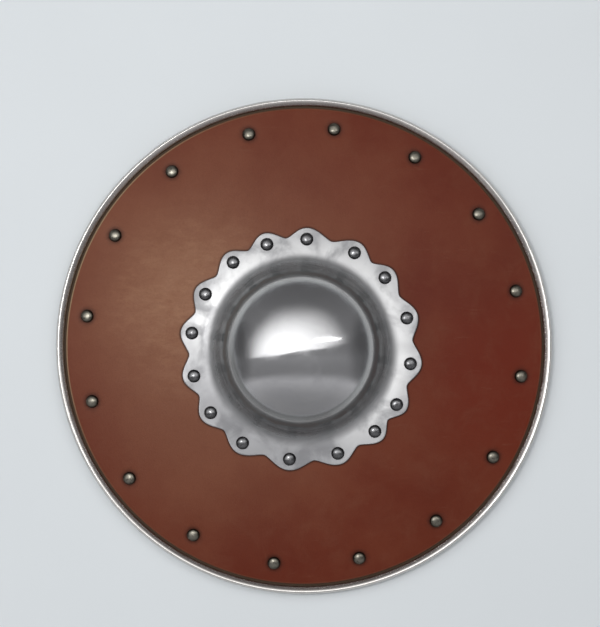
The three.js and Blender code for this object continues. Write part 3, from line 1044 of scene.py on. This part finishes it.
studio = {
    "pixelSize": 0.0008036,  # metres on the shield's front for one of the picture's 600 across
    "imageWidth": 600,
    "shieldPlace": (304, 346.2),
    "imageCentre": (300, 313.5),
    "distance": 1.8,
    "floorSize": 24,
    "floorDrop": 0.0002,     # below the rim's back
    "floorColour": rgb(0.79, 0.83, 0.85),
    "floorPaler": 1.06,
    "panelHeight": 2.5,      # above the ground
    "lampDrop": 0.05,        # below the panel
    # two smaller lamps: degrees off the upright to the right and up, length, width, turn and radiance
    "lamps": {"key": (-14, 5, 0.6, 0.3, 0, 26), "strip": (33, 13, 2.0, 0.12, 7, 5)},
    # the surroundings' brightness, from the bottom side of the picture to the top one
    "shades": [
        (0.0, 0.29), (0.10, 0.36), (0.20, 0.54), (0.225, 0.55), (0.25, 0.42), (0.28, 0.27),
        (0.35, 0.29), (0.41, 0.33), (0.5, 0.25), (0.75, 0.22), (1.0, 0.15),
    ],
    "shadeBlue": 1.03,       # how much bluer than grey they are
    "darkSides": (0.8, 0.97, 1.0, 0.45),  # from here sideways to there, from this brightness to that
}
panelLight = {
    "low": (-2.8, -0.05),    # its corners as seen from the boss, as shares of its height above it
    "high": (2.0, 1.6),
    "turn": 9,               # degrees
    "core": (0.51, 0.02, 0),  # its brightest place, as shares of its sides
    "reach": (0.49, 0.98, 1),
    "fadeCurve": 1.5,
    "radiance": 1.9,
}
panelRise = studio["panelHeight"] - cadBox[1].z


def makeFloor():
    deselectAll()
    bpy.ops.mesh.primitive_plane_add(size=studio["floorSize"], location=(0, 0, -studio["floorDrop"]))
    floor = bpy.context.active_object
    floor.name = "floor"
    finish = Finish("pale floor", Roughness=0.9, Specular_IOR_Level=0.1)
    tint = studio["floorColour"]
    paler = tuple(min(c * studio["floorPaler"], 1) for c in tint)
    finish.use(Base_Color=finish.blend(finish.clouds(5, detail=2), tint, paler))
    floor.data.materials.append(finish.material)


def addPanel():
    # an oblong soft panel overhead, brightest in the middle of the long side where it ends sharp
    deselectAll()
    turn = math.radians(panelLight["turn"])
    low, high = panelLight["low"], panelLight["high"]
    middle = Vector(((low[0] + high[0]) / 2, (low[1] + high[1]) / 2, 0)) * panelRise
    middle.rotate(Matrix.Rotation(turn, 3, "Z"))
    middle.z = studio["panelHeight"]
    bpy.ops.object.light_add(type="AREA", location=middle, rotation=(0, 0, turn))
    panel = bpy.context.active_object
    panel.name = "overhead"
    light = panel.data
    light.shape = "RECTANGLE"
    light.size = (high[0] - low[0]) * panelRise
    light.size_y = (high[1] - low[1]) * panelRise
    light.energy = panelLight["radiance"] * math.pi * light.size * light.size_y
    light.use_nodes = True
    nodes = Nodes(light.node_tree)
    shape = nodes.add("ShaderNodeMapping", vector_type="TEXTURE")
    nodes.fill(shape.inputs["Vector"], nodes.add("ShaderNodeNewGeometry").outputs["Parametric"])
    nodes.fill(shape.inputs["Location"], panelLight["core"])
    nodes.fill(shape.inputs["Scale"], panelLight["reach"])
    fade = nodes.spread(nodes.length(shape.outputs["Vector"]), 1, 0)
    strength = nodes.math("POWER", fade, panelLight["fadeCurve"])
    nodes.fill(light.node_tree.nodes["Emission"].inputs["Strength"], strength)


def addLamps():
    for name, (right, up, length, width, turn, radiance) in studio["lamps"].items():
        deselectAll()
        x, y = [math.tan(math.radians(degrees)) * panelRise for degrees in (right, up)]
        place = (x, y, studio["panelHeight"] - studio["lampDrop"])
        bpy.ops.object.light_add(type="AREA", location=place, rotation=(0, 0, math.radians(turn)))
        lamp = bpy.context.active_object
        lamp.name = name
        lamp.data.shape = "ELLIPSE"
        lamp.data.size = length
        lamp.data.size_y = width
        lamp.data.energy = radiance * math.pi * length * width * math.pi / 4


def makeWorld():
    world = bpy.data.worlds.new("studio")
    bpy.context.scene.world = world
    world.use_nodes = True
    nodes = Nodes(world.node_tree)
    background = world.node_tree.nodes["Background"]
    split = nodes.add("ShaderNodeSeparateXYZ")
    nodes.fill(split.inputs[0], nodes.add("ShaderNodeTexCoord").outputs["Generated"])
    ramp = nodes.add("ShaderNodeValToRGB")
    nodes.fill(ramp.inputs["Fac"], nodes.spread(split.outputs["Y"], -1, 1, curve="LINEAR"))
    stops = studio["shades"]
    marks = ramp.color_ramp.elements
    marks[0].position = stops[0][0]
    marks[1].position = stops[-1][0]
    for stop in stops[1:-1]:
        marks.new(stop[0])
    for mark, (position, value) in zip(marks, stops):
        mark.color = rgb(value, value, value * studio["shadeBlue"])
    nodes.fill(background.inputs["Color"], ramp.outputs["Color"])
    sideways = nodes.math("ABSOLUTE", split.outputs["X"])
    nodes.fill(background.inputs["Strength"], nodes.spread(sideways, *studio["darkSides"]))


def makeCamera():
    deselectAll()
    bpy.ops.object.camera_add(location=(0, 0, rimHigh.z + studio["distance"]))
    camera = bpy.context.active_object
    lens = camera.data
    lens.sensor_fit = "HORIZONTAL"
    lens.lens = lens.sensor_width * studio["distance"] / (studio["pixelSize"] * studio["imageWidth"])
    centre, place = studio["imageCentre"], studio["shieldPlace"]
    lens.shift_x = (centre[0] - place[0]) / studio["imageWidth"]
    lens.shift_y = (place[1] - centre[1]) / studio["imageWidth"]
    bpy.context.scene.camera = camera


makeFloor()
bpy.context.scene.view_settings.view_transform = "Standard"
addPanel()
addLamps()
makeWorld()
makeCamera()
print("studio ready")
